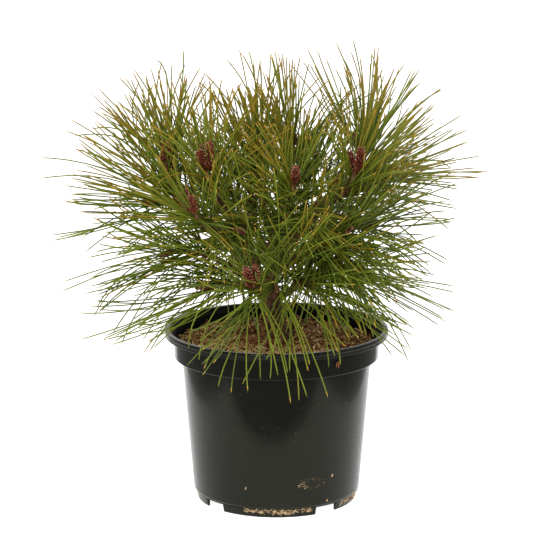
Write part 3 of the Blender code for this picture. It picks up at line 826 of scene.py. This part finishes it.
cad_limbs = {name[5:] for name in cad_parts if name.startswith("limb_")}
for bough, (_, _, foot) in BOUGHS.items():
    first = shoots_of(bough)[0]
    path = evenly(np.concatenate([bough_path(bough), shoot_path(first)[1:]]), 0.0012)
    radii = np.linspace(foot, 2.1, len(path)) / 1000
    piece = limb("wood_" + bough, path, radii, 18, 0.35)
    paint(piece, young_bark)
    settle(piece, "bark", "bough_" + bough)
    for name in shoots_of(bough)[1:]:
        path = evenly(shoot_path(name), 0.0012)
        radii = np.linspace(3.0, 2.0, len(path)) / 1000
        piece = limb("wood_" + name, path, radii, 16, 0.2)
        paint(piece, young_bark)
        if name in cad_limbs:
            settle(piece, "bark", "limb_" + name)
        else:
            settle(piece, "bark")


# Needles
# They stand in pairs on the last season's wood, set in a spiral. Each is stiff, half
# round, green, and pale gold at its tip; the oldest, lowest ones spread and hang most.
BARE_UNDER_BUD = 0.012
TUFT_SIZE = 6
TUFT_PULL = 0.50
POT_ROOM = 0.0020
NEEDLE_RADIUS = 0.00076
NEEDLE_SHARES = np.array((0, 0.16, 0.33, 0.50, 0.66, 0.80, 0.905, 0.962, 1.0))
NEEDLE_THICKNESS = np.array((0.75, 1.0, 1.0, 1.0, 1.0, 1.0, 0.97, 0.92, 0.50))

# The largest buds stand in sight: length and radius in mm, and how many in the cluster
BIG_BUDS = {
    "left_crown": (26, 4.6, 3), "left_front": (21, 3.8, 2), "right_crown": (25, 4.2, 2),
    "front_low": (25, 3.8, 3), "front_mid": (16, 3.4, 2), "left_high": (17, 3.4, 2),
}
SEEN_FROM = np.array((0.0, -2.64337, 0.82249))
SIGHT_CLEARANCE = 0.0050

needle_colours = [
    ("needle_deep", (0.046, 0.069, 0.005)),
    ("needle_green", (0.100, 0.140, 0.009)),
    ("needle_fresh", (0.158, 0.198, 0.013)),
    ("needle_olive", (0.192, 0.182, 0.010)),
    ("needle_golden", (0.246, 0.172, 0.011)),
    ("needle_tip", (0.410, 0.255, 0.032)),
]
needle_materials = []
for name, colour in needle_colours:
    material, *_ = new_material(name, colour, 0.5, 0.26)
    needle_materials.append(material)
GOLDEN = len(needle_materials) - 2
TIP = len(needle_materials) - 1


def unit(vectors):
    """Vectors at length one."""
    return vectors / np.linalg.norm(vectors, axis=-1, keepdims=True)


def needle_lines(shoot, rng):
    """The lines of a shoot's needles, each an array of points, by the branching rule.

    Bundles leave the shoot in a spiral and lean out more the lower they are. Neighbours
    that lean alike draw together into tufts, and the two needles of a bundle part.
    """
    bough, place, point, needle, leafy, bundles, spread, hang = shoot
    start = bough_path(bough)[-1]
    bud = polar(*place)
    aim = heading(*point)
    whole = np.linalg.norm(bud - start)
    via = bud - aim * 0.45 * whole
    step = np.arange(bundles)
    share = (step + 0.5) / bundles
    low = max(1 - leafy / 1000 / whole, 0.04)
    high = 1 - BARE_UNDER_BUD / whole
    along = high - (high - low) * share
    root = bezier(start, via, bud, along)
    axis = unit(bezier(start, via, bud, along + 0.02) - root)
    upright = np.abs(axis[:, 2:3]) > 0.9
    across = unit(np.cross(axis, np.where(upright, (1.0, 0.0, 0.0), (0.0, 0.0, 1.0))))
    other = np.cross(axis, across)
    turn = rng.uniform(0, 2 * np.pi) + step * GOLDEN_TURN + rng.normal(0, 0.30, bundles)
    side = across * np.cos(turn)[:, None] + other * np.sin(turn)[:, None]
    lean = np.radians(16 + (spread - 16) * share ** 0.7) + rng.normal(0, 0.32, bundles)
    lean = np.abs(lean)[:, None]
    way = axis * np.cos(lean) + side * np.sin(lean)
    tufts = way[rng.choice(bundles, max(2, bundles // TUFT_SIZE), replace=False)]
    nearest = np.argmax(way @ tufts.T, axis=1)
    way = unit(way + TUFT_PULL * (tufts[nearest] - way) + rng.normal(0, 0.18, (bundles, 3)))
    split_way = unit(np.cross(axis, way))
    grown = np.clip(rng.normal(0.97, 0.12, bundles), 0.50, 1.14)
    drawn_over = rng.normal(0, 0.26, (len(tufts), 3))[nearest]
    drawn_over += rng.normal(0, 0.24, (bundles, 3))
    lines = []
    for pair_side in (-1, 1):
        split = (0.07 + 0.05 * rng.normal(0, 1, (bundles, 1))) * pair_side
        away = unit(way + split_way * split)
        length = needle / 1000 * grown * rng.uniform(0.95, 1.0, bundles)
        flat = np.sqrt(np.clip(1 - away[:, 2] ** 2, 0, 1))
        bend = drawn_over + rng.normal(0, 0.07, (bundles, 3))
        bend[:, 2] += 0.04 - 1.6 * hang * flat
        if hang < 0.15:
            bend += 0.08 * aim
        reach = length[:, None, None] * NEEDLE_SHARES[None, :, None]
        curve = away[:, None] * reach + 0.5 * bend[:, None] * reach ** 2 / length[:, None, None]
        drawn = np.linalg.norm(np.diff(curve, axis=1), axis=2).sum(axis=1)
        lines.append(root[:, None] + curve * (length / drawn)[:, None, None])
    return np.concatenate(lines)


def clear_of_pot(lines):
    """Which lines stay outside the pot and above its lip and the soil."""
    reach = np.hypot(lines[..., 0], lines[..., 1])
    height = lines[..., 2]
    in_pot = reach < LIP_RADIUS + POT_ROOM
    over_lip = in_pot & (reach > LIP_INNER - POT_ROOM) & (height < LIP_TOP + POT_ROOM)
    over_soil = in_pot & (height < SOIL_CROWN + POT_ROOM)
    return ~(over_lip | over_soil).any(axis=1)


def clear_of_buds(lines, rng):
    """Which lines leave the largest buds in sight; a few may still cross them."""
    keep = np.ones(len(lines), bool)
    middles = (lines[:, :-1] + lines[:, 1:]) / 2
    points = np.concatenate([lines, middles], axis=1)
    for name, (long, _, _) in BIG_BUDS.items():
        aim = heading(*SHOOTS[name][2])
        for share in (-0.3, 0.1, 0.5):
            bud = polar(*SHOOTS[name][1]) + aim * long / 1000 * share
            sight = unit(SEEN_FROM - bud)
            off = points - bud
            ahead = off @ sight
            aside = np.linalg.norm(off - ahead[..., None] * sight, axis=2)
            keep &= ~((ahead > 0) & (aside < SIGHT_CLEARANCE)).any(axis=1)
    return keep | (rng.random(len(lines)) < 0.16)


for index, (name, shoot) in enumerate(SHOOTS.items()):
    colour_rng = np.random.default_rng(900 + index)
    lines = needle_lines(shoot, np.random.default_rng(100 + index))
    lines = lines[clear_of_pot(lines) & clear_of_buds(lines, colour_rng)]
    radii = np.tile(NEEDLE_RADIUS * NEEDLE_THICKNESS, (len(lines), 1))
    piece, owner, step = rods("needles_on_" + name, lines, radii, 3)
    paint(piece, *needle_materials)
    # Needles that reach high are painted paler and more golden towards their tips: painted sunlight on
    # the top of the crown, added to their own random tone and gold.
    sunny = np.clip((lines[:, -1, 2] - 0.24) / 0.20, 0, 1)
    tone = colour_rng.normal(1.6, 0.80, len(lines)) + 0.3 * sunny
    tone += 1.6 * (colour_rng.random(len(lines)) < 0.06)
    # Needles that hang low are painted paler: painted light from the floor below.
    tone += np.clip((0.205 - lines[:, -1, 2]) / 0.03, 0, 1) * 0.7 * (2.2 - tone)
    ripening_and_painted_sun = np.clip(colour_rng.normal(0.6, 0.6, len(lines)) + 2.6 * sunny, 0, None)
    share = NEEDLE_SHARES[step] ** 1.7
    chosen = np.clip(np.floor(tone[owner] + ripening_and_painted_sun[owner] * share), 0, GOLDEN)
    golden_end = colour_rng.random(len(lines)) < 0.30 + 0.70 * sunny
    chosen[(step == len(NEEDLE_SHARES) - 2) & golden_end[owner]] = TIP
    piece.data.polygons.foreach_set("material_index", chosen.astype(np.int32))
    if "needles_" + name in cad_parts:
        settle(piece, "needles", "needles_" + name)
    else:
        settle(piece, "needles")


# Buds
# Each shoot ends in a cluster of two or three oval winter buds, set close together. Each
# is wrapped in small, overlapping red-brown scales with pale, resinous points.
OTHER_BUD = (13, 2.6, 2)
BUDLESS = ("front_base", "right_low")
BUD_SCALES = 70
SCALE_LENGTH = 1.15
SCALE_RADIUS = 0.25
PALE_SCALES = 0.60

# The core under the scales is painted dark: painted shade that shows in the gaps between the scales.
bud_core_painted_shade = fibre_material("bud_core_painted_shade", (0.030, 0.009, 0.006), (0.080, 0.024, 0.014))
bud_red = fibre_material("bud_scale", (0.120, 0.026, 0.013), (0.300, 0.078, 0.040))
bud_point = fibre_material("bud_scale_point", (0.330, 0.160, 0.105), (0.580, 0.430, 0.320))


def bud_swell(share):
    """How wide a bud is along its length, from 0 to 1."""
    return np.sin(np.pi * (0.10 + 0.86 * share) ** 0.85) ** 0.75


for index, (name, shoot) in enumerate(SHOOTS.items()):
    if name in BUDLESS:
        continue
    rng = np.random.default_rng(500 + index)
    aim = heading(*shoot[2])
    long, wide, bud_count = BIG_BUDS.get(name, OTHER_BUD)
    cores = []
    core_radii = []
    scales = []
    scale_radii = []
    first_turn = rng.uniform(0, 2 * math.pi)
    across = unit(np.cross(aim, (0.3, 0.2, 0.9)))
    for which in range(bud_count):
        size = (1.0, 0.82, 0.70)[which]
        length = long * size / 1000
        radius = wide * (0.6 + 0.4 * size) / 1000
        turn = first_turn + 2 * math.pi * which / bud_count
        aside = across * math.cos(turn) + np.cross(aim, across) * math.sin(turn)
        way = unit(aim + 0.16 * aside)
        foot = polar(*shoot[1]) - aim * 0.38 * long / 1000 + 0.72 * radius * aside
        shares = np.linspace(0, 1, 10)
        cores.append(foot + way * (length * shares)[:, None])
        core_radii.append(0.80 * radius * bud_swell(shares))
        own_across = unit(np.cross(way, (0.3, 0.2, 0.9)))
        own_other = np.cross(way, own_across)
        for scale in range(BUD_SCALES):
            share = scale / BUD_SCALES
            angle = scale * GOLDEN_TURN
            out = own_across * math.cos(angle) + own_other * math.sin(angle)
            root = foot + way * length * share + out * radius * bud_swell(share) * 0.74
            lie = unit(way * (0.8 + share) + out * 0.62)
            reach = SCALE_LENGTH * radius * rng.uniform(0.8, 1.15)
            bent = unit(lie + 0.25 * out)
            scales.append([root, root + lie * reach * 0.5, root + bent * reach * 0.8,
                           root + bent * reach])
            scale_radii.append(SCALE_RADIUS * radius * np.array((1.0, 0.9, 0.55, 0.18)))
    core, owner, step = rods("bud_cores_on_" + name, np.array(cores), np.array(core_radii), 10)
    paint(core, bud_core_painted_shade)
    settle(core, "bark")
    piece, owner, step = rods("buds_on_" + name, np.array(scales), np.array(scale_radii), 4)
    paint(piece, bud_red, bud_point)
    height_share = np.tile(np.arange(BUD_SCALES) / BUD_SCALES, bud_count)
    resinous = rng.random(len(scales)) < PALE_SCALES * height_share + 0.15
    pale = (step == 2) & resinous[owner]
    piece.data.polygons.foreach_set("material_index", pale.astype(np.int32))
    settle(piece, "bark")


# Studio
# A pale seamless floor in a white room, with one broad soft light high up in front.
bpy.ops.object.select_all(action="DESELECT")
bpy.ops.mesh.primitive_plane_add(size=60.0, location=(0, 0, 0))
floor = bpy.context.object
floor.name = "studio_floor"
paper, shader, nodes, links = new_material("studio_paper", (0.50, 0.50, 0.50), 1.0, 0.0)
shader.inputs["Emission Color"].default_value = (1.0, 1.0, 1.0, 1.0)
shader.inputs["Emission Strength"].default_value = 1.0
floor.data.materials.append(paper)

world = bpy.data.worlds.new("studio_white")
world.use_nodes = True
world.node_tree.nodes["Background"].inputs["Color"].default_value = (1.0, 1.0, 1.0, 1.0)
world.node_tree.nodes["Background"].inputs["Strength"].default_value = 1.04
bpy.context.scene.world = world
bpy.context.scene.view_settings.view_transform = "Standard"

# Dark cards lie on the floor in front and at both sides, where only the pot's gloss finds them
CARD_SIZE = 6.0
FRONT_CARD_REACH = 0.252
FRONT_CARD_TURN = -4
SIDE_CARD_REACH = 0.350
SIDE_CARD_END = 0.50
dark_paper, *_ = new_material("dark_paper", (0.30, 0.30, 0.30), 1.0, 0.0)
side_card_middle = SIDE_CARD_REACH + CARD_SIZE / 2
for name, x, y, z, turn in (
        ("front_card", 0, -FRONT_CARD_REACH - CARD_SIZE / 2, 0.001, FRONT_CARD_TURN),
        ("left_card", -side_card_middle, SIDE_CARD_END - CARD_SIZE / 2, 0.002, 0),
        ("right_card", side_card_middle, SIDE_CARD_END - CARD_SIZE / 2, 0.002, 0)):
    bpy.ops.mesh.primitive_plane_add(size=CARD_SIZE, location=(x, y, z))
    bpy.ops.object.transform_apply(location=True, rotation=True, scale=True)
    card = bpy.context.object
    card.rotation_euler = (0, 0, math.radians(turn))
    bpy.ops.object.transform_apply(location=True, rotation=True, scale=True)
    card.name = name
    paint(card, dark_paper)
    card.visible_camera = False
    card.visible_diffuse = False
    card.visible_shadow = False

softbox_light = bpy.data.lights.new("softbox", "SUN")
softbox_light.energy = 1.15
softbox_light.angle = math.radians(24)
softbox = bpy.data.objects.new("softbox", softbox_light)
softbox.rotation_euler = (math.radians(48), 0, math.radians(-16))
bpy.context.scene.collection.objects.link(softbox)

# The camera looks down at the plant from the front, through a long lens.
CAMERA_DROP = 0.2214
FOCAL_LENGTH_PX = 2700
FRAME_PX = 553
camera_data = bpy.data.cameras.new("camera")
camera_data.sensor_width = 36.0
camera_data.lens = 36.0 * FOCAL_LENGTH_PX / FRAME_PX
camera = bpy.data.objects.new("camera", camera_data)
camera.location = SEEN_FROM
camera.rotation_euler = (math.pi / 2 - CAMERA_DROP, 0, 0)
bpy.context.scene.collection.objects.link(camera)
bpy.context.scene.camera = camera
